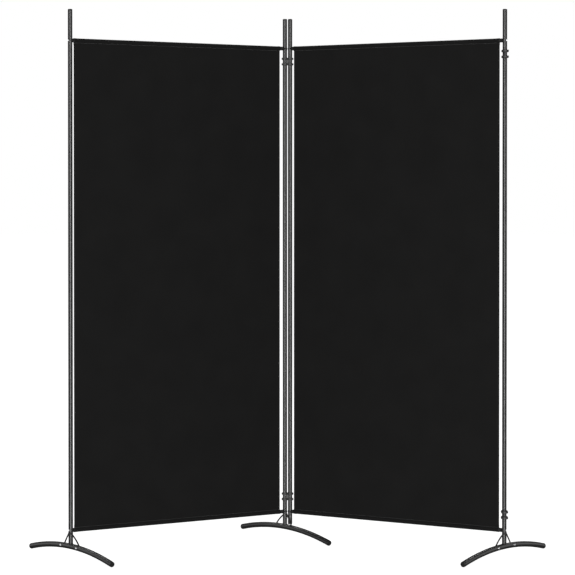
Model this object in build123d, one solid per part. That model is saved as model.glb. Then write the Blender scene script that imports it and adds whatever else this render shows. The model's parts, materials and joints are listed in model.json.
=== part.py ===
from build123d import *
import math
import os

# A free-standing folding screen: two tall fabric panels, each stretched between two steel poles
# by a bar at the top and a bar at the bottom.  The two middle poles are linked by moulded clips
# that turn on both poles, so that the panels fold against each other like the leaves of a book.
#
# Frame: millimetres, +Z up, the floor at z = 0, the screen seen from the front along +Y, and the
# origin on the floor at the middle of the whole screen's box.  Each panel is designed in its own
# frame: u runs from the outer pole (u = 0) to the inner pole, v is square to the panel.

# ---- driving dimensions ---------------------------------------------------------------------
HEIGHT = 1800.0            # floor to the top of a pole's cap
PANEL_PITCH = 858.0        # outer pole axis to inner pole axis
PANEL_TURN = 35.0          # each panel's turn away from flat, in degrees
CLIP_PITCH = 18.0          # axis to axis of the two poles that a clip joins
DEPTH_ORIGIN = 246.0       # the middle poles stand this far behind the origin

POLE_RADIUS = 7.5
POLE_WALL = 1.0
POLE_FOOT_Z = 84.5         # a pole ends here, on the shoulder of its foot bracket
POLE_JOINT_Z = 905.0       # the upper tube of a pole plugs into the lower one here
SPIGOT_LENGTH = 60.0
PLUG_CLEARANCE = 0.05
CAP_HEIGHT = 4.0
CAP_ROUNDING = 2.8
FOOT_PLUG_ROUNDING = 1.0   # the plug under the hanging pole is nearly flat
CAP_PLUG_LENGTH = 12.0
END_CHAMFER = 0.4          # the broken edge on every tube end, so that each seam shows as a fine line

BAR_RADIUS = 6.5
BAR_WALL = 1.0
TOP_BAR_Z = 1697.4
BOTTOM_BAR_Z = 90.1
INSERT_LENGTH = 28.0
INSERT_COLLAR = 3.0
SCREW_RADIUS = 2.5
SCREW_HOLE_RADIUS = 2.75
SCREW_HEAD_RADIUS = 3.9
SCREW_HEAD_HEIGHT = 0.7
SCREW_REACH = 16.0         # how far a corner screw goes into its insert

FABRIC_THICKNESS = 1.2
SLEEVE_RADIUS = 7.1        # outside of the fabric where it wraps round a bar
SLEEVE_BORE = 6.7
FABRIC_SPAN_LEFT = (13.4, 836.0)    # the cloth's two edges along u
FABRIC_SPAN_RIGHT = (19.8, 841.6)

FOOT_RADIUS = 9.25
FOOT_WALL = 1.2
FOOT_CREST_Z = 37.25       # the foot tube's axis under the pole
FOOT_BEND_RADIUS = 1215.0  # the arch of the foot tube's axis
FOOT_HALF_LENGTH = 260.0   # level distance from the pole to the end of the tube
FOOT_CAP_THICKNESS = 3.2
FOOT_PLUG_LENGTH = 14.0

BRACE_RADIUS = 2.4
BRACE_TOP = (6.0, 2.6, 81.0)        # along the foot, away from the panel, height
BRACE_MIDDLE = (29.8, -2.0, 61.5)
BRACE_LOW = (51.0, -4.2, 37.2)
EYE_RADIUS = 3.8
EYE_LENGTH = 5.0
FOOT_SCREW_RADIUS = 2.0
FOOT_SCREW_HEAD_RADIUS = 4.0
FOOT_SCREW_HEAD_HEIGHT = 2.2

CLIP_HEIGHT = 26.0
CLIP_RING_HEIGHT = 7.0
CLIP_RADIUS = 11.3
CLIP_BORE_RADIUS = 7.58
CLIP_WEB = 12.4
CLIP_WEB_RADIUS = 7.9      # the web is hollowed a little wider than the bores, to stand off the poles
UPPER_CLIP_Z = 1652.6
LOWER_CLIP_Z = 142.2
PLUG_END_Z = 45.8          # lowest point of the pole that hangs beside the middle foot

# ---- what follows from them -----------------------------------------------------------------
TURN = math.radians(PANEL_TURN)
OUTER_X = CLIP_PITCH / 2 + PANEL_PITCH * math.cos(TURN)
OUTER_Y = DEPTH_ORIGIN - PANEL_PITCH * math.sin(TURN)
LEFT_PANEL = Location((-OUTER_X, OUTER_Y, 0), (0, 0, PANEL_TURN))
RIGHT_PANEL = Location((OUTER_X, OUTER_Y, 0), (0, 0, 180 - PANEL_TURN))
FOOT_ARC = math.degrees(math.asin(FOOT_HALF_LENGTH / FOOT_BEND_RADIUS))
FOOT_ARC_AXIS = Axis((0, 0, FOOT_CREST_Z - FOOT_BEND_RADIUS), (1, 0, 0))
POLE_BORE = POLE_RADIUS - POLE_WALL
SPIGOT_RADIUS = POLE_BORE - PLUG_CLEARANCE
BAR_BORE = BAR_RADIUS - BAR_WALL


def post(radius, low, high):
    """An upright round bar on the z axis between two heights."""
    return Pos(0, 0, (low + high) / 2) * Cylinder(radius, high - low)


def rod_u(radius, start, end):
    """A round bar lying along u between two values of u."""
    return Pos((start + end) / 2, 0, 0) * Rot(0, 90, 0) * Cylinder(radius, end - start)


def hex_socket(width, depth):
    """A hexagon key socket that opens towards +z, its mouth at z = 0."""
    return Pos(0, 0, -depth) * extrude(RegularPolygon(width / 2, 6, major_radius=False), depth + 1)


# ---- poles ----------------------------------------------------------------------------------
def screw_holes(heights):
    """Level holes along u, right through a pole, for the corner screws."""
    return [Pos(0, 0, z) * rod_u(SCREW_HOLE_RADIUS, -20, 20) for z in heights]


def pole_tube(low, high):
    """A round bar as thick as a pole, with its end edges broken."""
    bar = post(POLE_RADIUS, low, high)
    return chamfer(bar.edges().filter_by(GeomType.CIRCLE), END_CHAMFER)


def lower_pole(low):
    """The lower tube of a pole, open at the top to take the upper tube's spigot."""
    tube = pole_tube(low, POLE_JOINT_Z) - post(POLE_BORE, low - 1, POLE_JOINT_Z + 1)
    return tube - screw_holes([BOTTOM_BAR_Z])


def upper_pole():
    """The upper tube of a pole, with its lower end drawn down to a spigot."""
    top = HEIGHT - CAP_HEIGHT
    spigot_low = POLE_JOINT_Z - SPIGOT_LENGTH
    tube = pole_tube(POLE_JOINT_Z, top) - post(POLE_BORE, POLE_JOINT_Z + 3, top + 1)
    spigot = post(SPIGOT_RADIUS, spigot_low, POLE_JOINT_Z + 1)
    spigot = chamfer(spigot.edges().group_by(Axis.Z)[0], 0.5)
    tube = tube + spigot - post(SPIGOT_RADIUS - POLE_WALL, spigot_low - 1, POLE_JOINT_Z + 4)
    return tube - screw_holes([TOP_BAR_Z])


def pole_cap(rounding):
    """A plug that closes a tube whose mouth is at z = 0, pointing up."""
    head = Cylinder(POLE_RADIUS, CAP_HEIGHT, align=(Align.CENTER, Align.CENTER, Align.MIN))
    head = fillet(head.edges().group_by(Axis.Z)[-1], rounding)
    stem = post(SPIGOT_RADIUS, -CAP_PLUG_LENGTH, 0.5)
    stem = chamfer(stem.edges().group_by(Axis.Z)[0], 0.8)
    return head + stem


# ---- bars, their threaded inserts and the corner screws --------------------------------------
def bar_tube():
    """A bar between the two poles of a panel, on u at z = 0."""
    near, far = POLE_RADIUS + INSERT_COLLAR, PANEL_PITCH - POLE_RADIUS - INSERT_COLLAR
    return rod_u(BAR_RADIUS, near, far) - rod_u(BAR_BORE, near - 1, far + 1)


def bar_insert():
    """The insert in a bar's end: a collar hollowed to sit on the pole, and a threaded shank."""
    collar = rod_u(BAR_RADIUS, 0, POLE_RADIUS + INSERT_COLLAR)
    shank = rod_u(BAR_BORE - PLUG_CLEARANCE, POLE_RADIUS + 1, POLE_RADIUS + INSERT_LENGTH)
    seat = post(POLE_RADIUS + 0.02, -20, 20)
    bore = rod_u(SCREW_RADIUS + 0.05, 0, POLE_RADIUS + SCREW_REACH + 2)
    return collar + shank - seat - bore


def corner_screw():
    """A screw through a pole into a bar's insert, its head on the pole's outer side (u < 0)."""
    head = rod_u(SCREW_HEAD_RADIUS, -POLE_RADIUS - SCREW_HEAD_HEIGHT, -POLE_RADIUS + 1.5)
    head = fillet(head.edges().group_by(Axis.X)[0], 0.69)
    head -= post(POLE_RADIUS + 0.02, -20, 20)
    shank = rod_u(SCREW_RADIUS, -POLE_RADIUS - 0.5, POLE_RADIUS + SCREW_REACH)
    socket = Pos(-POLE_RADIUS - SCREW_HEAD_HEIGHT, 0, 0) * Rot(0, -90, 0) * hex_socket(3.0, 1.4)
    return head + shank - socket


def at_corners(piece):
    """Four copies of a piece made for the outer pole's side, one at each corner of a panel."""
    copies = []
    for z in (BOTTOM_BAR_Z, TOP_BAR_Z):
        copies.append(Pos(0, 0, z) * piece)
        copies.append(Pos(PANEL_PITCH, 0, z) * Rot(0, 0, 180) * piece)
    return Compound(children=copies)


# ---- fabric ---------------------------------------------------------------------------------
def fabric(span):
    """A stretched sheet with a sleeve at its top and bottom edge for the bars to run through."""
    start, end = span
    middle = (start + end) / 2
    low, high = BOTTOM_BAR_Z + 5, TOP_BAR_Z - 5
    sheet = Pos(middle, 0, (low + high) / 2) * Box(end - start, FABRIC_THICKNESS, high - low)
    for z in (BOTTOM_BAR_Z, TOP_BAR_Z):
        sheet += Pos(0, 0, z) * rod_u(SLEEVE_RADIUS, start, end)
    for z in (BOTTOM_BAR_Z, TOP_BAR_Z):
        sheet -= Pos(0, 0, z) * rod_u(SLEEVE_BORE, start - 1, end + 1)
    return sheet


# ---- feet (made on the z axis, the tube running along v, screw heads on the side of +u) -------
def foot_arc_solid(radius, half_angle):
    """A round bar along the foot's arch, symmetric about the pole."""
    disc = Plane.XZ * Pos(0, FOOT_CREST_Z) * Circle(radius)
    bar = revolve(disc, axis=FOOT_ARC_AXIS, revolution_arc=2 * half_angle)
    turned = bar.rotate(FOOT_ARC_AXIS, -half_angle)
    if turned.bounding_box().center().Y ** 2 > 1:
        turned = bar.rotate(FOOT_ARC_AXIS, half_angle)
    return turned


def brace_point(point, side):
    """A brace's design point in the foot's frame, for the end at side * v."""
    along, away, height = point
    return (away, side * along, height)


def brace_path(side):
    top, middle, low = (brace_point(p, side) for p in (BRACE_TOP, BRACE_MIDDLE, BRACE_LOW))
    return ThreePointArc(top, middle, low)


def brace_rod(radius, side):
    """The bent rod of a brace, as thick as asked."""
    path = brace_path(side)
    start = Plane(origin=path @ 0, z_dir=path % 0)
    return sweep(start * Circle(radius), path=path)


def brace_eye(side):
    """The flattened eye at the lower end of a brace, inside the foot tube."""
    away, along, height = brace_point(BRACE_LOW, side)
    return Pos(0, along, height) * rod_u(EYE_RADIUS, away - EYE_LENGTH / 2, away + EYE_LENGTH / 2)


def foot_screw_hole(side, radius):
    """A level hole along u at a brace's eye."""
    away, along, height = brace_point(BRACE_LOW, side)
    return Pos(0, along, height) * rod_u(radius, away - EYE_LENGTH, FOOT_RADIUS + 5)


def foot_tube():
    """The arched tube, with slots for the braces in its top and holes for the screws."""
    tube = foot_arc_solid(FOOT_RADIUS, FOOT_ARC)
    tube -= foot_arc_solid(FOOT_RADIUS - FOOT_WALL, FOOT_ARC + 1)
    for side in (-1, 1):
        _, along, height = brace_point(BRACE_LOW, side)
        tube -= brace_rod(BRACE_RADIUS + 0.5, side)
        tube -= Pos(0, along, height) * rod_u(FOOT_SCREW_RADIUS + 0.3, 1, FOOT_RADIUS + 5)
    return tube


def foot_bracket():
    """The post that stands on the foot tube, its spigot for the pole, and two braces."""
    body = pole_tube(FOOT_CREST_Z, POLE_FOOT_Z)
    body += post(SPIGOT_RADIUS, POLE_FOOT_Z - 1, POLE_FOOT_Z + SPIGOT_LENGTH)
    body = chamfer(body.edges().group_by(Axis.Z)[-1], 0.8)
    body -= foot_arc_solid(FOOT_RADIUS + 0.02, FOOT_ARC)
    for side in (-1, 1):
        body += brace_rod(BRACE_RADIUS, side)
        body += brace_eye(side)
    body -= post(SPIGOT_RADIUS - 1.4, FOOT_CREST_Z + FOOT_RADIUS + 4, HEIGHT)
    body -= screw_holes([BOTTOM_BAR_Z])
    for side in (-1, 1):
        body -= foot_screw_hole(side, FOOT_SCREW_RADIUS + 0.05)
    return body


def foot_cap(side):
    """The plug in an end of the foot tube, with a small flat where it stands on the floor."""
    cap = Pos(0, FOOT_CAP_THICKNESS / 2, FOOT_CREST_Z) * Rot(90, 0, 0)
    cap = cap * Cylinder(FOOT_RADIUS, FOOT_CAP_THICKNESS)
    cap = fillet(cap.edges().group_by(Axis.Y)[-1], 1.2)
    stem = Pos(0, 0.5 - FOOT_PLUG_LENGTH / 2, FOOT_CREST_Z) * Rot(90, 0, 0)
    stem = stem * Cylinder(FOOT_RADIUS - FOOT_WALL - 3 * PLUG_CLEARANCE, FOOT_PLUG_LENGTH)
    cap = (cap + stem).rotate(FOOT_ARC_AXIS, -FOOT_ARC)
    if side < 0:
        cap = cap.mirror(Plane.XZ)
    return cap - Pos(0, 0, -50) * Box(1000, 1000, 100)


def foot_screw(side):
    """A screw through the foot tube's wall into the eye of a brace."""
    away, along, height = brace_point(BRACE_LOW, side)
    crown = FOOT_RADIUS + FOOT_SCREW_HEAD_HEIGHT
    head = rod_u(FOOT_SCREW_HEAD_RADIUS, FOOT_RADIUS - 2, crown)
    head = fillet(head.edges().group_by(Axis.X)[-1], 1.2)
    shank = rod_u(FOOT_SCREW_RADIUS, away - EYE_LENGTH / 2 + 0.5, FOOT_RADIUS)
    socket = Pos(crown, 0, 0) * Rot(0, 90, 0) * hex_socket(2.5, 1.4)
    head = Pos(0, along, height) * (head - socket)
    return head - foot_arc_solid(FOOT_RADIUS + 0.02, FOOT_ARC) + Pos(0, along, height) * shank


def foot_nodes(name, place):
    """The nodes of one foot, put where its pole stands."""
    caps = sorted((place * foot_cap(-1), place * foot_cap(1)), key=lambda cap: cap.center().Y)
    return {
        f"{name}_tube": place * foot_tube(),
        f"{name}_bracket": place * foot_bracket(),
        f"{name}_front_cap": caps[0],
        f"{name}_back_cap": caps[1],
        f"{name}_screws": place * Compound(children=[foot_screw(-1), foot_screw(1)]),
    }


# ---- clips ----------------------------------------------------------------------------------
def clip():
    """A moulded link: two figure-eight rings joined by a web, with a bore for each pole."""
    ring = extrude(Pos(-CLIP_PITCH / 2, 0) * Circle(CLIP_RADIUS) + Pos(CLIP_PITCH / 2, 0)
                   * Circle(CLIP_RADIUS), CLIP_RING_HEIGHT)
    edges = ring.edges().group_by(Axis.Z)
    ring = fillet(edges[0] + edges[-1], 0.9)
    web = Box(CLIP_PITCH, CLIP_WEB, CLIP_HEIGHT - 2 * CLIP_RING_HEIGHT + 1)
    for x in (-CLIP_PITCH / 2, CLIP_PITCH / 2):
        ring -= Pos(x, 0, 0) * Cylinder(CLIP_BORE_RADIUS, 4 * CLIP_RING_HEIGHT)
        web -= Pos(x, 0, 0) * Cylinder(CLIP_WEB_RADIUS, CLIP_HEIGHT)
    low = -CLIP_HEIGHT / 2
    return web + Pos(0, 0, low) * ring + Pos(0, 0, -low - CLIP_RING_HEIGHT) * ring


def clip_nodes():
    """Two clips between the middle poles, and two that wait on the right outer pole."""
    nodes = {}
    for level, z in (("upper", UPPER_CLIP_Z), ("lower", LOWER_CLIP_Z)):
        nodes[f"{level}_centre_clip"] = Location((0, DEPTH_ORIGIN, z)) * clip()
        spare = Location((OUTER_X, OUTER_Y - CLIP_PITCH / 2, z), (0, 0, 90))
        nodes[f"{level}_spare_clip"] = spare * clip()
    return nodes


# ---- panels ---------------------------------------------------------------------------------
def panel_nodes(side, place, span, inner_foot):
    """All the nodes of one panel but its inner foot's, which only the left panel has."""
    inner_place = place * Pos(PANEL_PITCH, 0, 0)
    inner_low = POLE_FOOT_Z if inner_foot else PLUG_END_Z + CAP_HEIGHT
    nodes = {}
    for pole, at, low in (("outer", place, POLE_FOOT_Z), ("inner", inner_place, inner_low)):
        nodes[f"{side}_{pole}_pole_lower"] = at * lower_pole(low)
        nodes[f"{side}_{pole}_pole_upper"] = at * upper_pole()
        nodes[f"{side}_{pole}_pole_cap"] = at * Pos(0, 0, HEIGHT - CAP_HEIGHT) * pole_cap(CAP_ROUNDING)
    nodes[f"{side}_top_bar"] = place * Pos(0, 0, TOP_BAR_Z) * bar_tube()
    nodes[f"{side}_bottom_bar"] = place * Pos(0, 0, BOTTOM_BAR_Z) * bar_tube()
    nodes[f"{side}_bar_inserts"] = place * at_corners(bar_insert())
    nodes[f"{side}_corner_screws"] = place * at_corners(corner_screw())
    nodes[f"{side}_fabric"] = place * fabric(span)
    nodes.update(foot_nodes(f"{side}_foot", place * Rot(0, 0, 180)))
    return nodes


def screen_nodes():
    """Every node of the screen by name."""
    nodes = panel_nodes("left", LEFT_PANEL, FABRIC_SPAN_LEFT, True)
    nodes.update(foot_nodes("centre_foot", LEFT_PANEL * Pos(PANEL_PITCH, 0, 0)))
    nodes.update(panel_nodes("right", RIGHT_PANEL, FABRIC_SPAN_RIGHT, False))
    right_inner = RIGHT_PANEL * Pos(PANEL_PITCH, 0, PLUG_END_Z + CAP_HEIGHT) * Rot(180, 0, 0)
    nodes["right_inner_pole_foot_plug"] = right_inner * pole_cap(FOOT_PLUG_ROUNDING)
    nodes.update(clip_nodes())
    return nodes


os.makedirs("parts", exist_ok=True)
for node_name, shape in screen_nodes().items():
    export_step(shape, f"parts/{node_name}.step")
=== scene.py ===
import math

import bpy
import numpy as np
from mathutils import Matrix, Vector
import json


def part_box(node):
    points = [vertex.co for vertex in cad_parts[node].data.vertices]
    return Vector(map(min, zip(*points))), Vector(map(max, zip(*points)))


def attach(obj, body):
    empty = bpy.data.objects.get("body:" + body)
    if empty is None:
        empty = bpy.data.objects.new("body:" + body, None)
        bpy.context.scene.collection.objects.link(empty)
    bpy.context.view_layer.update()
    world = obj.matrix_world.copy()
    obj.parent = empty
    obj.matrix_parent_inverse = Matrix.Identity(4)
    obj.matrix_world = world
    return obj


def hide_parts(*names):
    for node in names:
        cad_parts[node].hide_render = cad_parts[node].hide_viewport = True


# Looks of a free-standing folding screen: two black cloth panels stretched in steel pole frames.
# Lengths are in metres.  Each panel has its own frame: u runs from its outer pole to its inner
# pole, n points out of the panel towards the front, z is up.

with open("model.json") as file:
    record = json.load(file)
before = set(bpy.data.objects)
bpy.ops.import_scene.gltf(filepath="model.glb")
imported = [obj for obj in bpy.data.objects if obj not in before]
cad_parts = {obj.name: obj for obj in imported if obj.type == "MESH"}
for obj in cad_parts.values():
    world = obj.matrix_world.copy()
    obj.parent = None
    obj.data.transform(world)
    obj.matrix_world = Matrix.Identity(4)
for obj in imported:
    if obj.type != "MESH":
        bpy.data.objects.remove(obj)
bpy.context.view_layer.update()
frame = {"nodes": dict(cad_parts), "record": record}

# ---- cloth ----------------------------------------------------------------------------------
CLOTH_THICKNESS = 0.0004
LAYER_STEP = 0.00045       # from the middle of one layer of cloth to the middle of the next
POCKET_RADIUS = 0.0069     # middle of the cloth where it goes round a bar
POCKET_SWELL = 0.0004      # how much wider the pocket is over a side hem
PINCH_GAP = 0.00015        # how far below the bar the two layers of a pocket meet
STITCH_DROP = 0.0077       # from the middle of a bar to its row of stitches
POCKET_TURNING = 0.008     # cloth that is left below the stitches on the back
SIDE_HEM = 0.008
SIDE_STITCH_INSET = 0.006
HEM_EASE = 0.003           # length over which a side hem's thickness fades out
PINCH_LENGTH = 0.0012      # the two layers of a pocket lie flat together after this length
COLUMN_STEP = 0.004
FINE_ROW = 0.003
COARSE_ROW = 0.020
WIDE_RIPPLE = 0.00030      # height of the broad waves near a pocket, and how far they reach
WIDE_REACH = 0.16
FINE_RIPPLE = 0.00012      # the same for the small puckers at the stitches
FINE_REACH = 0.022

STITCH_LENGTH = 0.0030
STITCH_PITCH = 0.0036
THREAD_RADIUS = 0.00042
FINE_THREAD_RADIUS = 0.00022
YARN_PITCH = 0.00055

# ---- welds on the feet ------------------------------------------------------------------------
POST_RADIUS = 0.0075
FOOT_RADIUS = 0.00925
BRACE_RADIUS = 0.0024
BRACE_EXIT = (0.0024, 0.0074, 0.0800)    # away from the panel, along the foot, height
BRACE_SLOPE = (-0.148, 0.765, -0.627)
WELD_RADIUS = 0.0011
WELD_RIPPLE = 0.0016       # length of one ripple of a weld bead

# ---- camera and light -----------------------------------------------------------------------
CAMERA_DISTANCE = 8.323    # from the outer poles
CAMERA_HEIGHT = 1.2078
LENS = 158.98
SENSOR = 36.0
HORIZON_RISE = 0.1698      # how far above the picture's middle the horizon is, in picture widths
SHIFT_UP = -0.10
ROOM_FRONT = 0.22          # brightness of the studio in front of the object and behind it
ROOM_BACK = 0.05
FLOOR_REACH = 60.0
FLOOR_GLOW = 0.95          # what the camera sees of the floor by itself
FLOOR_TONE = 0.5
LIGHT_AIM = (0, 0, 0.9)


def middle(node):
    """The middle of a CAD node's box."""
    low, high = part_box(node)
    return (low + high) / 2


class Panel:
    """A panel's own frame and the places of its bars and cloth, read from the CAD nodes."""

    def __init__(self, side):
        self.body = f"{side}_panel"
        outer, inner = middle(f"{side}_outer_pole_lower"), middle(f"{side}_inner_pole_lower")
        self.origin = Vector((outer.x, outer.y, 0))
        run = Vector((inner.x - outer.x, inner.y - outer.y, 0))
        self.pitch = run.length
        self.along = run.normalized()
        square = Vector((self.along.y, -self.along.x, 0))
        self.out = square if square.y < 0 else -square
        self.hand = 1 if self.along.cross(self.out).z > 0 else -1
        self.top = middle(f"{side}_top_bar").z
        self.bottom = middle(f"{side}_bottom_bar").z
        low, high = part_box(f"{side}_fabric")
        sleeve = (high.z - self.top) * abs(self.along.y)
        ends = [(x - outer.x) / self.along.x for x in (low.x + sleeve, high.x - sleeve)]
        self.cloth_start, self.cloth_end = min(ends), max(ends)

    def place(self, u, n, z):
        """Points in the row frame from arrays of u, n and z."""
        u, n, z = np.broadcast_arrays(u, n, z)
        return (np.array(self.origin) + u[..., None] * np.array(self.along)
                + n[..., None] * np.array(self.out) + z[..., None] * np.array((0, 0, 1.0)))


# ---- mesh helpers ---------------------------------------------------------------------------
def new_piece(name, points, faces, material, body, smooth=True):
    """A mesh piece that rides on a CAD body."""
    mesh = bpy.data.meshes.new(name)
    mesh.from_pydata([tuple(p) for p in points], [], [tuple(f) for f in faces])
    mesh.update()
    mesh.polygons.foreach_set("use_smooth", [smooth] * len(mesh.polygons))
    mesh.materials.append(material)
    piece = bpy.data.objects.new(name, mesh)
    bpy.context.scene.collection.objects.link(piece)
    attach(piece, body)
    return piece


def grid_faces(rows, columns, start=0, flip=False):
    """Four-sided faces over a grid of points that is stored row by row."""
    corner = start + np.arange((rows - 1) * columns).reshape(rows - 1, columns)[:, :-1].ravel()
    quads = np.stack([corner, corner + 1, corner + columns + 1, corner + columns], 1)
    return quads[:, ::-1] if flip else quads


def shell_faces(rows, columns):
    """The faces of a closed shell: two grids and the four edges between them."""
    size = rows * columns
    first = grid_faces(rows, columns)
    second = grid_faces(rows, columns, size, True)
    index = np.arange(size).reshape(rows, columns)
    rims = []
    for line, turned in ((index[0], False), (index[-1], True),
                         (index[:, 0], True), (index[:, -1], False)):
        rim = np.stack([line[1:], line[:-1], line[:-1] + size, line[1:] + size], 1)
        rims.append(rim[:, ::-1] if turned else rim)
    return np.concatenate([first, second, *rims])


def turned(faces, flip):
    """The faces, turned over where the frame that they were made in is mirrored."""
    return [tuple(face)[::-1] for face in faces] if flip else faces


def unit(vectors):
    """The vectors, each made one long."""
    return vectors / np.linalg.norm(vectors, axis=-1, keepdims=True)


def grid_normals(points):
    """Unit normals of a grid of points."""
    return unit(np.cross(np.gradient(points, axis=1), np.gradient(points, axis=0)))


# ---- the cloth's shape ----------------------------------------------------------------------
def curve_between(start, control, end, count):
    """Points of a smooth corner, without its two ends."""
    t = np.linspace(0, 1, count + 2)[1:-1, None]
    start, control, end = map(np.array, (start, control, end))
    return (1 - t) ** 2 * start + 2 * t * (1 - t) * control + t ** 2 * end


def pocket(hem):
    """The pocket round a bar, as (n, z) from the bar's middle: up the back, over and down the
    front.  hem is 1 over a side hem and 0 elsewhere."""
    radius = POCKET_RADIUS + POCKET_SWELL * hem
    back = LAYER_STEP * (1 + 2 * hem)
    pinch = radius + PINCH_GAP
    lower = pinch + PINCH_LENGTH
    reach = math.pi - math.acos(radius / pinch)
    turn = np.linspace(-reach, reach, 30)
    arc = np.stack([radius * np.sin(turn), radius * np.cos(turn)], 1)
    heights = np.linspace(-STITCH_DROP - POCKET_TURNING, -lower, 6)
    turning = np.stack([np.full(6, -back), heights], 1)
    up = curve_between(turning[-1], (-back * 0.6, -pinch), arc[0], 4)
    down = curve_between(arc[-1], (0, -pinch), (0, -lower), 4)
    return np.concatenate([turning, up, arc, down, [(0, -lower)]])


def row_heights(top, bottom):
    """Heights of the flat cloth's rows, close together near the pockets."""
    steps = []
    reach, step = 0.0, FINE_ROW
    half = (top - bottom) / 2
    while reach + step < half:
        reach += step
        steps.append(reach)
        step = min(step * 1.12, COARSE_ROW)
    steps = np.array(steps)
    return np.concatenate([top - steps, [(top + bottom) / 2], bottom + steps[::-1]])


def section(panel, hem):
    """The cloth's whole run as (n, z): the top pocket, the flat cloth and the bottom pocket."""
    loop = pocket(hem)
    upper = loop + (0, panel.top)
    lower = loop[::-1] * (1, -1) + (0, panel.bottom)
    flat = row_heights(upper[-1, 1], lower[0, 1])
    return np.concatenate([upper, np.stack([flat * 0, flat], 1), lower])


def columns(panel):
    """The cloth's run along u as (u, layer offset, hem share), with both side hems turned back."""
    start, end = panel.cloth_start, panel.cloth_end
    fold = LAYER_STEP / 2
    hem = np.linspace(SIDE_HEM, fold, 4)
    bend = np.linspace(-math.pi / 2, math.pi / 2, 5)[1:-1]
    count = int((end - start) / COLUMN_STEP)
    flat = np.linspace(fold, end - start - fold, count)
    u = np.concatenate([hem, fold - fold * np.cos(bend)])
    offset = np.concatenate([np.full(4, -LAYER_STEP), fold * np.sin(bend) - fold])
    span = end - start
    u = np.concatenate([u, flat, span - u[::-1]])
    offset = np.concatenate([offset, flat * 0, offset[::-1]])
    edge = np.minimum(u, span - u)
    share = np.clip((SIDE_HEM + HEM_EASE - edge) / HEM_EASE, 0, 1)
    return start + u, offset, share


def ripple(u, depth, phase):
    """Slight waves that the tension from a pocket leaves in the cloth, and their fading."""
    wide = np.sin(u * 71 + phase) * np.sin(u * 23 + 1.7 * phase) * np.exp(-depth / WIDE_REACH)
    fine = np.sin(u * 290 + 5 * np.sin(u * 37 + phase)) * np.exp(-depth / FINE_REACH)
    return WIDE_RIPPLE * wide + FINE_RIPPLE * fine


def cloth_points(panel):
    """The middle surface of the cloth and, for each point, its place along both yarns."""
    u, offset, share = columns(panel)
    plain, hemmed = section(panel, 0), section(panel, 1)
    blend = share[None, :, None]
    run = plain[:, None] * (1 - blend) + hemmed[:, None] * blend
    way = unit(np.gradient(run, axis=0))
    normal = np.stack([-way[..., 1], way[..., 0]], -1)
    run = run + normal * offset[None, :, None]
    loop = len(pocket(0))
    height = run[..., 1]
    depth_top = np.maximum(panel.top - STITCH_DROP - height, 0)
    depth_bottom = np.maximum(height - panel.bottom - STITCH_DROP, 0)
    wave = ripple(u[None], depth_top, 0.4) + ripple(u[None], depth_bottom, 2.1)
    edge = np.minimum(u - panel.cloth_start, panel.cloth_end - u)[None]
    fade = np.clip(np.minimum(depth_top, depth_bottom) / 0.006, 0, 1)
    flat = np.zeros(len(run))
    flat[loop:-loop] = 1
    n = run[..., 0] + wave * fade * flat[:, None] * np.clip(edge / 0.02, 0.2, 1)
    points = panel.place(u[None], n, height)
    length = np.concatenate([[0], np.cumsum(np.linalg.norm(np.diff(plain, axis=0), axis=1))])
    yarns = np.stack(np.broadcast_arrays(u[None], length[:, None], 0.0), -1)
    return points, yarns


def make_cloth(side, panel, material):
    """One panel's cloth: a single hemmed sheet whose two ends go round the bars."""
    points, yarns = cloth_points(panel)
    normal = grid_normals(points)
    half = CLOTH_THICKNESS / 2
    shell = np.concatenate([(points + normal * half).reshape(-1, 3),
                            (points - normal * half).reshape(-1, 3)])
    rows, count = points.shape[:2]
    name = f"{side}_cloth"
    cloth = new_piece(name, shell, shell_faces(rows, count), material, panel.body)
    place = cloth.data.attributes.new("yarn_place", "FLOAT_VECTOR", "POINT")
    place.data.foreach_set("vector", np.tile(yarns.reshape(-1, 3), (2, 1)).ravel())
    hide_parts(f"{side}_fabric")
    return cloth


# ---- stitching ------------------------------------------------------------------------------
def stitch_rings(radius, sections=7, sides=6):
    """One stitch along x, arched away from the cloth (y), its ends sunk into it."""
    rings = []
    for q in np.linspace(0, 1, sections):
        thick = radius * (0.55 + 0.45 * math.sin(math.pi * q) ** 0.5)
        rise = radius * (1.1 * math.sin(math.pi * q) ** 0.6 - 0.8)
        turn = np.arange(sides) * 2 * math.pi / sides
        ring = np.stack([np.full(sides, (q - 0.5) * STITCH_LENGTH),
                         rise + thick * np.cos(turn), thick * 1.15 * np.sin(turn)], 1)
        rings.append(ring)
    return np.array(rings)


def stitch_faces(sections=7, sides=6):
    """The faces of one stitch, closed at both ends."""
    faces = []
    for r in range(sections - 1):
        for k in range(sides):
            a, b = r * sides + k, r * sides + (k + 1) % sides
            faces.append((a, b, b + sides, a + sides))
    faces.append(tuple(range(sides - 1, -1, -1)))
    faces.append(tuple(range((sections - 1) * sides, sections * sides)))
    return faces


def stitch_row(panel, middles, side, way, radius):
    """Stitches at given (u, n, z) middles.  way is 'u' or 'z', side is +1 front or -1 back."""
    rings = stitch_rings(radius).reshape(-1, 3)
    hand = panel.hand * side * (1 if way == "u" else -1)
    pattern = turned(stitch_faces(), hand < 0)
    points, faces = [], []
    for u, n, z in middles:
        x, y, across = rings.T
        if way == "u":
            local = panel.place(u + x, n + side * y, z + across)
        else:
            local = panel.place(u + across, n + side * y, z + x)
        base = len(points) * len(rings)
        points.append(local)
        faces.extend([tuple(base + i for i in face) for face in pattern])
    return np.concatenate(points), faces


def join_rows(rows):
    """One set of points and faces from several."""
    points, faces, base = [], [], 0
    for p, f in rows:
        points.append(p)
        faces.extend([tuple(base + i for i in face) for face in f])
        base += len(p)
    return np.concatenate(points), faces


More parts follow.
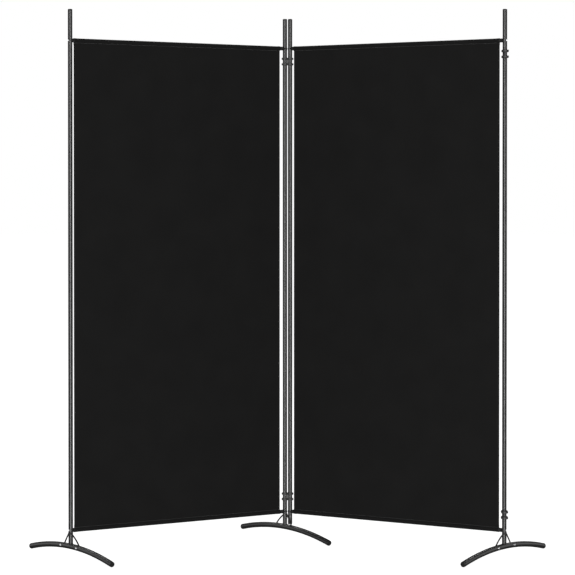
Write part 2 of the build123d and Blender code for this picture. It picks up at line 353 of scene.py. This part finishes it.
def make_pocket_stitching(side, panel, material):
    """The rows that close the two pockets, seen on the front and on the back."""
    middles = np.arange(panel.cloth_start + 0.003, panel.cloth_end - 0.002, STITCH_PITCH)
    inset = np.minimum(middles - panel.cloth_start, panel.cloth_end - middles)
    over_hem = np.clip((SIDE_HEM + HEM_EASE - inset) / HEM_EASE, 0, 1)
    rows = []
    for z in (panel.top - STITCH_DROP, panel.bottom + STITCH_DROP):
        front = CLOTH_THICKNESS / 2 + 0.0001
        back = -(LAYER_STEP * (1 + 2 * over_hem) + CLOTH_THICKNESS / 2)
        rows.append(stitch_row(panel, [(u, front, z) for u in middles], 1, "u", THREAD_RADIUS))
        rows.append(stitch_row(panel, [(u, b, z) for u, b in zip(middles, back)], -1, "u",
                               THREAD_RADIUS))
    points, faces = join_rows(rows)
    name = f"{side}_pocket_stitching"
    return new_piece(name, points, faces, material, panel.body)


def make_side_stitching(side, panel, material):
    """The fine rows that hold the side hems."""
    clear = STITCH_DROP + POCKET_TURNING + 0.004
    middles = np.arange(panel.bottom + clear, panel.top - clear, STITCH_PITCH)
    rows = []
    for u in (panel.cloth_start + SIDE_STITCH_INSET, panel.cloth_end - SIDE_STITCH_INSET):
        front = CLOTH_THICKNESS / 2
        back = -(LAYER_STEP + CLOTH_THICKNESS / 2)
        rows.append(stitch_row(panel, [(u, front, z) for z in middles], 1, "z",
                               FINE_THREAD_RADIUS))
        rows.append(stitch_row(panel, [(u, back, z) for z in middles], -1, "z",
                               FINE_THREAD_RADIUS))
    points, faces = join_rows(rows)
    name = f"{side}_side_stitching"
    return new_piece(name, points, faces, material, panel.body)


# ---- welds ----------------------------------------------------------------------------------
def bead(middles, outward, upward):
    """A rippled bead of weld metal round a closed run of points."""
    count, sides = len(middles), 8
    run = np.linalg.norm(np.roll(middles, -1, axis=0) - middles, axis=1).sum()
    ripples = max(round(run / WELD_RIPPLE), 5)
    swell = 1 + 0.16 * np.abs(np.sin(np.arange(count) * math.pi * ripples / count))
    turn = np.arange(sides) * 2 * math.pi / sides
    radius = (WELD_RADIUS * swell)[:, None, None]
    ring = (outward[:, None] * np.cos(turn)[None, :, None]
            + upward[:, None] * np.sin(turn)[None, :, None])
    points = (middles[:, None] + radius * ring).reshape(-1, 3)
    faces = []
    for r in range(count):
        ahead = (r + 1) % count
        for k in range(sides):
            beside = (k + 1) % sides
            faces.append((r * sides + k, ahead * sides + k,
                          ahead * sides + beside, r * sides + beside))
    return points, faces


def post_bead(turn, crest):
    """The bead where the post stands on the foot's tube, as (away, along, height)."""
    away, along = POST_RADIUS * np.cos(turn), POST_RADIUS * np.sin(turn)
    height = crest - FOOT_RADIUS + np.sqrt(FOOT_RADIUS ** 2 - away ** 2) + 0.0002
    outward = np.stack([np.cos(turn), np.sin(turn), turn * 0], 1)
    upward = np.tile((0, 0, 1.0), (len(turn), 1))
    return bead(np.stack([away, along, height], 1), outward, upward)


def brace_bead(turn, side):
    """The bead where a brace leaves the post, as (away, along, height)."""
    slope = np.array(BRACE_SLOPE) * (1, side, 1)
    across = unit(np.cross(slope, (0, 0, 1.0)))
    over = np.cross(slope, across)
    outward = np.cos(turn)[:, None] * across + np.sin(turn)[:, None] * over
    middles = np.array(BRACE_EXIT) * (1, side, 1) + BRACE_RADIUS * outward
    return bead(middles, outward, np.tile(slope, (len(turn), 1)))


def make_welds(foot, pole, panel, material):
    """The beads that hold a foot's post and its two braces together."""
    post = middle(pole)
    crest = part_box(f"{foot}_tube")[1].z
    toward_panel = panel.origin + panel.along * panel.pitch / 2 - post
    toward_panel.z = 0
    away, along = -toward_panel.normalized(), panel.out
    turn = np.arange(96) * 2 * math.pi / 96
    points, faces = join_rows([post_bead(turn, crest), brace_bead(turn, 1), brace_bead(turn, -1)])
    faces = turned(faces, away.cross(along).z < 0)
    spot = np.array((post.x, post.y, 0))
    points = (spot + points[:, :1] * np.array(away) + points[:, 1:2] * np.array(along)
              + points[:, 2:] * np.array((0, 0, 1.0)))
    return new_piece(f"{foot}_welds", points, faces, material, panel.body)


# ---- material helpers -----------------------------------------------------------------------
class Nodes:
    """Short ways to add and join the nodes of one material."""

    def __init__(self, name):
        self.material = bpy.data.materials.new(name)
        self.material.use_nodes = True
        self.tree = self.material.node_tree
        self.shader = self.tree.nodes["Principled BSDF"]

    def add(self, kind, **settings):
        node = self.tree.nodes.new(kind)
        for key, value in settings.items():
            setattr(node, key, value)
        return node

    def join(self, source, target):
        self.tree.links.new(source, target)

    def maths(self, operation, first, second=None):
        node = self.add("ShaderNodeMath", operation=operation)
        for socket, value in zip(node.inputs, (first, second)):
            if value is None:
                continue
            if isinstance(value, (int, float)):
                socket.default_value = value
            else:
                self.join(value, socket)
        return node.outputs[0]

    def place(self):
        """Object coordinates, in metres."""
        return self.add("ShaderNodeTexCoord").outputs["Object"]

    def noise(self, place, size, detail=2.0):
        """Noise whose features are about this many metres wide."""
        node = self.add("ShaderNodeTexNoise")
        node.inputs["Scale"].default_value = 1 / size
        node.inputs["Detail"].default_value = detail
        self.join(place, node.inputs["Vector"])
        return node.outputs["Fac"]

    def spread(self, value, low, high, start=0.3, end=0.7):
        """A value that goes from low to high as another goes from start to end."""
        node = self.add("ShaderNodeMapRange")
        node.inputs["From Min"].default_value = start
        node.inputs["From Max"].default_value = end
        node.inputs["To Min"].default_value = low
        node.inputs["To Max"].default_value = high
        self.join(value, node.inputs["Value"])
        return node.outputs["Result"]

    def tones(self, value, stops):
        """A colour that follows a value through (position, colour) stops."""
        node = self.add("ShaderNodeValToRGB")
        ramp = node.color_ramp.elements
        while len(ramp) < len(stops):
            ramp.new(0.5)
        for element, (position, colour) in zip(ramp, stops):
            element.position = position
            element.color = (*colour, 1)
        self.join(value, node.inputs["Fac"])
        return node.outputs["Color"]

    def bump(self, height, distance, strength=1.0, under=None):
        node = self.add("ShaderNodeBump")
        node.inputs["Distance"].default_value = distance
        node.inputs["Strength"].default_value = strength
        self.join(height, node.inputs["Height"])
        if under is not None:
            self.join(under, node.inputs["Normal"])
        return node.outputs["Normal"]

    def finish(self, **sockets):
        """Sets or joins the shader's sockets, by name with _ for a space."""
        for key, value in sockets.items():
            socket = self.shader.inputs[key.replace("_", " ")]
            if isinstance(value, (int, float, tuple)):
                socket.default_value = value
            else:
                self.join(value, socket)
        return self.material


def grey(value, warmth=0.0):
    """A grey, a little warm where asked."""
    return (value * (1 + warmth), value, value * (1 - warmth))


# ---- materials ------------------------------------------------------------------------------
def black_cloth():
    """Plain woven polyester: two sets of yarns that go over and under each other."""
    m = Nodes("black_woven_cloth")
    place = m.add("ShaderNodeAttribute", attribute_name="yarn_place").outputs["Vector"]
    split = m.add("ShaderNodeSeparateXYZ")
    m.join(place, split.inputs[0])
    turns = math.pi / YARN_PITCH
    warp = m.maths("SINE", m.maths("MULTIPLY", split.outputs["X"], turns))
    weft = m.maths("SINE", m.maths("MULTIPLY", split.outputs["Y"], turns))
    warp_over = m.maths("MULTIPLY", m.maths("SIGN", warp), weft)
    weft_over = m.maths("MULTIPLY", m.maths("SIGN", weft), warp)
    warp_round = m.maths("SQRT", m.maths("ABSOLUTE", warp))
    weft_round = m.maths("SQRT", m.maths("ABSOLUTE", weft))
    warp_height = m.maths("ADD", warp_round, m.maths("MULTIPLY", warp_over, 0.6))
    weft_height = m.maths("SUBTRACT", weft_round, m.maths("MULTIPLY", weft_over, 0.6))
    weave = m.maths("MAXIMUM", warp_height, weft_height)
    slub = m.noise(place, 0.004, 3.0)
    cloud = m.noise(place, 0.12, 2.0)
    # Weave height with the slub: it gives the bump, and through the colour ramp below it paints
    # the hollows between the yarns darker, which is painted shade in the weave; the cloud only
    # adds a slight random tone.
    weave_height_and_gap_shade = m.maths("MULTIPLY", weave, m.spread(slub, 0.85, 1.1))
    gap_shade_and_cloud_tone = m.maths("ADD", m.maths("MULTIPLY", weave_height_and_gap_shade, 0.5), m.spread(cloud, -0.06, 0.06))
    colour = m.tones(gap_shade_and_cloud_tone, [(0.25, grey(0.0038)), (0.55, grey(0.0074, 0.01)),
                            (0.85, grey(0.0108, 0.02))])
    rough = m.spread(slub, 0.84, 0.95)
    normal = m.bump(weave_height_and_gap_shade, 0.00012, 0.8, m.bump(slub, 0.0002, 0.3))
    return m.finish(Base_Color=colour, Roughness=rough, Normal=normal, Specular_IOR_Level=0.10,
                    Sheen_Weight=0.025, Sheen_Roughness=0.5, Sheen_Tint=(1, 1, 1, 1))


def thread(name, base, gloss):
    """Twisted polyester thread."""
    m = Nodes(name)
    place = m.place()
    twist = m.add("ShaderNodeTexWave", wave_type="BANDS", bands_direction="DIAGONAL")
    twist.inputs["Scale"].default_value = 900
    twist.inputs["Distortion"].default_value = 0.6
    m.join(place, twist.inputs["Vector"])
    # The colour follows the twist bands that also give the bump: the grooves between the strands
    # are painted darker than the crests, which is painted shade.
    colour = m.tones(twist.outputs["Fac"], [(0.1, grey(base * 0.6)), (0.9, grey(base * 1.2))])
    normal = m.bump(twist.outputs["Fac"], 0.0001, 0.6)
    rough = m.spread(m.noise(place, 0.002), gloss - 0.06, gloss + 0.06)
    return m.finish(Base_Color=colour, Roughness=rough, Normal=normal, Specular_IOR_Level=0.4)


def black_steel():
    """Satin powder coat: a fine orange peel, with a few matter patches."""
    m = Nodes("black_powder_coat")
    place = m.place()
    peel = m.noise(place, 0.0011, 2.5)
    grain = m.noise(place, 0.00035, 1.0)
    patch = m.noise(place, 0.03, 3.0)
    colour = m.tones(patch, [(0.3, grey(0.0165)), (0.7, grey(0.0215, 0.01))])
    rough = m.maths("ADD", m.spread(patch, 0.29, 0.35), m.spread(grain, -0.02, 0.02))
    normal = m.bump(peel, 0.00006, 0.5, m.bump(grain, 0.00002, 0.4))
    return m.finish(Base_Color=colour, Roughness=rough, Normal=normal, Specular_IOR_Level=0.5)


def clip_plastic():
    """Moulded nylon with a fine spark-eroded texture."""
    m = Nodes("black_moulded_nylon")
    place = m.place()
    spark = m.noise(place, 0.0004, 3.0)
    flow = m.noise(place, 0.012, 2.0)
    colour = m.tones(flow, [(0.3, grey(0.024)), (0.7, grey(0.032, 0.01))])
    rough = m.maths("ADD", m.spread(flow, 0.50, 0.60), m.spread(spark, -0.05, 0.05))
    normal = m.bump(spark, 0.00005, 0.5)
    return m.finish(Base_Color=colour, Roughness=rough, Normal=normal, Specular_IOR_Level=0.45)


def cap_plastic():
    """Smooth moulded plastic of the tube plugs, with light scuffs."""
    m = Nodes("black_plug_plastic")
    place = m.place()
    scuff = m.noise(place, 0.0016, 4.0)
    flow = m.noise(place, 0.008, 1.0)
    colour = m.tones(scuff, [(0.35, grey(0.0070)), (0.75, grey(0.0120))])
    rough = m.maths("ADD", m.spread(scuff, 0.40, 0.52), m.spread(flow, -0.03, 0.03))
    normal = m.bump(scuff, 0.00003, 0.4)
    return m.finish(Base_Color=colour, Roughness=rough, Normal=normal, Specular_IOR_Level=0.4)


def plated(name, dark, light, roughness):
    """Zinc plate with the fine marks of turning and a cloudy passivation."""
    m = Nodes(name)
    place = m.place()
    cloud = m.noise(place, 0.0015, 3.0)
    scratch = m.add("ShaderNodeMapping")
    scratch.inputs["Scale"].default_value = (1.0, 1.0, 12.0)
    m.join(place, scratch.inputs["Vector"])
    marks = m.noise(scratch.outputs["Vector"], 0.0012, 2.0)
    colour = m.tones(cloud, [(0.3, dark), (0.7, light)])
    rough = m.maths("ADD", m.spread(cloud, roughness - 0.05, roughness + 0.05),
                    m.spread(marks, -0.04, 0.04))
    normal = m.bump(marks, 0.00002, 0.4)
    return m.finish(Base_Color=colour, Roughness=rough, Normal=normal, Metallic=1.0)


def make_materials():
    """One material for each slot of the record."""
    return {
        "black_steel": black_steel(),
        "black_cloth": black_cloth(),
        "clip_plastic": clip_plastic(),
        "cap_plastic": cap_plastic(),
        "bright_zinc": plated("bright_zinc_plate", (0.80, 0.81, 0.83), (0.95, 0.95, 0.95), 0.30),
        "insert_steel": plated("black_zinc_plate", (0.035, 0.035, 0.037), (0.06, 0.06, 0.061),
                               0.45),
    }


def dress_frame(materials):
    """Gives every CAD node the material of its record slot."""
    slots = {part["node"]: part["material_slot"] for part in frame["record"]["subparts"]}
    for name, node in frame["nodes"].items():
        node.data.materials.clear()
        node.data.materials.append(materials[slots[name]])


# ---- floor, light and camera ----------------------------------------------------------------
def make_world():
    """White behind the object for the camera, and a dim studio round it for everything else."""
    world = bpy.data.worlds.new("studio")
    bpy.context.scene.world = world
    world.use_nodes = True
    tree = world.node_tree
    tree.nodes.clear()
    output = tree.nodes.new("ShaderNodeOutputWorld")
    backdrop = tree.nodes.new("ShaderNodeBackground")
    backdrop.inputs["Color"].default_value = (1, 1, 1, 1)
    room = tree.nodes.new("ShaderNodeBackground")
    path = tree.nodes.new("ShaderNodeLightPath")
    mix = tree.nodes.new("ShaderNodeMixShader")
    where = tree.nodes.new("ShaderNodeTexCoord")
    split = tree.nodes.new("ShaderNodeSeparateXYZ")
    front = tree.nodes.new("ShaderNodeMapRange")
    front.inputs["From Min"].default_value = -0.2
    front.inputs["From Max"].default_value = 0.5
    front.inputs["To Min"].default_value = ROOM_FRONT
    front.inputs["To Max"].default_value = ROOM_BACK
    tree.links.new(where.outputs["Generated"], split.inputs[0])
    tree.links.new(split.outputs["Y"], front.inputs["Value"])
    tree.links.new(front.outputs["Result"], room.inputs["Strength"])
    tree.links.new(path.outputs["Is Camera Ray"], mix.inputs["Fac"])
    tree.links.new(room.outputs[0], mix.inputs[1])
    tree.links.new(backdrop.outputs[0], mix.inputs[2])
    tree.links.new(mix.outputs[0], output.inputs["Surface"])


def make_floor():
    """A plain pale floor that is bright to the camera and dim to the object."""
    mesh = bpy.data.meshes.new("floor")
    corners = [(x * FLOOR_REACH, y * FLOOR_REACH, 0)
               for x, y in ((-1, -1), (1, -1), (1, 1), (-1, 1))]
    mesh.from_pydata(corners, [], [(0, 1, 2, 3)])
    floor = bpy.data.objects.new("floor", mesh)
    bpy.context.scene.collection.objects.link(floor)
    floor.visible_diffuse = floor.visible_glossy = floor.visible_shadow = False
    material = bpy.data.materials.new("pale_floor")
    material.use_nodes = True
    tree = material.node_tree
    tree.nodes.clear()
    output = tree.nodes.new("ShaderNodeOutputMaterial")
    glow = tree.nodes.new("ShaderNodeEmission")
    glow.inputs["Strength"].default_value = FLOOR_GLOW
    matt = tree.nodes.new("ShaderNodeBsdfDiffuse")
    matt.inputs["Color"].default_value = (FLOOR_TONE, FLOOR_TONE, FLOOR_TONE, 1)
    path = tree.nodes.new("ShaderNodeLightPath")
    mix = tree.nodes.new("ShaderNodeMixShader")
    dark = tree.nodes.new("ShaderNodeEmission")
    dark.inputs["Strength"].default_value = 0.0
    both = tree.nodes.new("ShaderNodeAddShader")
    tree.links.new(path.outputs["Is Camera Ray"], mix.inputs["Fac"])
    tree.links.new(dark.outputs[0], mix.inputs[1])
    tree.links.new(glow.outputs[0], mix.inputs[2])
    tree.links.new(mix.outputs[0], both.inputs[0])
    tree.links.new(matt.outputs[0], both.inputs[1])
    tree.links.new(both.outputs[0], output.inputs["Surface"])
    mesh.materials.append(material)


def make_light(name, position, width, height, power):
    """A rectangular softbox that faces the middle of the object."""
    data = bpy.data.lights.new(name, "AREA")
    data.shape = "RECTANGLE"
    data.size, data.size_y = width, height
    data.energy = power
    light = bpy.data.objects.new(name, data)
    light.location = position
    toward = Vector(LIGHT_AIM) - Vector(position)
    light.rotation_euler = toward.to_track_quat("-Z", "Y").to_euler()
    light.visible_camera = False
    bpy.context.scene.collection.objects.link(light)
    return light


def make_lights(cloth_pieces):
    """A front softbox, weak side and back lights, and two lights for the back of the cloth."""
    make_light("key_softbox", (0, -9.5, 0.9), 2.6, 9.0, 1050)
    cloth_only = bpy.data.collections.new("cloth_only")
    for piece in cloth_pieces:
        cloth_only.objects.link(piece)
    for side, sign in (("left", -1), ("right", 1)):
        make_light(f"{side}_side_softbox", (sign * 4.7, 1.7, 0.9), 2.2, 3.0, 20)
        make_light(f"{side}_back_fill", (sign * 4.2, 5.0, 5.6), 1.6, 1.6, 90)
        back = make_light(f"{side}_cloth_light", (sign * 4.0, 7.0, 2.4), 3.0, 3.0, 380)
        back.light_linking.receiver_collection = cloth_only


def make_camera(panel):
    """The photograph's camera, tilted a little so that less shift is needed."""
    data = bpy.data.cameras.new("camera")
    data.sensor_width = SENSOR
    data.lens = LENS
    data.shift_y = SHIFT_UP
    camera = bpy.data.objects.new("camera", data)
    camera.location = (0, panel.origin.y - CAMERA_DISTANCE, CAMERA_HEIGHT)
    tilt = math.atan((HORIZON_RISE + SHIFT_UP) * SENSOR / LENS)
    camera.rotation_euler = (math.pi / 2 - tilt, 0, 0)
    data.clip_end = 200
    bpy.context.scene.collection.objects.link(camera)
    bpy.context.scene.camera = camera


materials = make_materials()
# The pocket thread is several times lighter than the cloth, so each pocket's stitch row shows as a
# light line.
pocket_thread = thread("pocket_thread", 0.075, 0.45)
side_thread = thread("side_thread", 0.013, 0.6)
dress_frame(materials)
panels = {side: Panel(side) for side in ("left", "right")}
cloth_pieces = []
for side, panel in panels.items():
    cloth_pieces.append(make_cloth(side, panel, materials["black_cloth"]))
    cloth_pieces.append(make_pocket_stitching(side, panel, pocket_thread))
    cloth_pieces.append(make_side_stitching(side, panel, side_thread))
for foot, pole, side in (("left_foot", "left_outer_pole_lower", "left"),
                         ("centre_foot", "left_inner_pole_lower", "left"),
                         ("right_foot", "right_outer_pole_lower", "right")):
    make_welds(foot, pole, panels[side], materials["black_steel"])
make_world()
make_floor()
make_lights(cloth_pieces)
make_camera(panels["left"])
bpy.context.scene.view_settings.view_transform = "Standard"
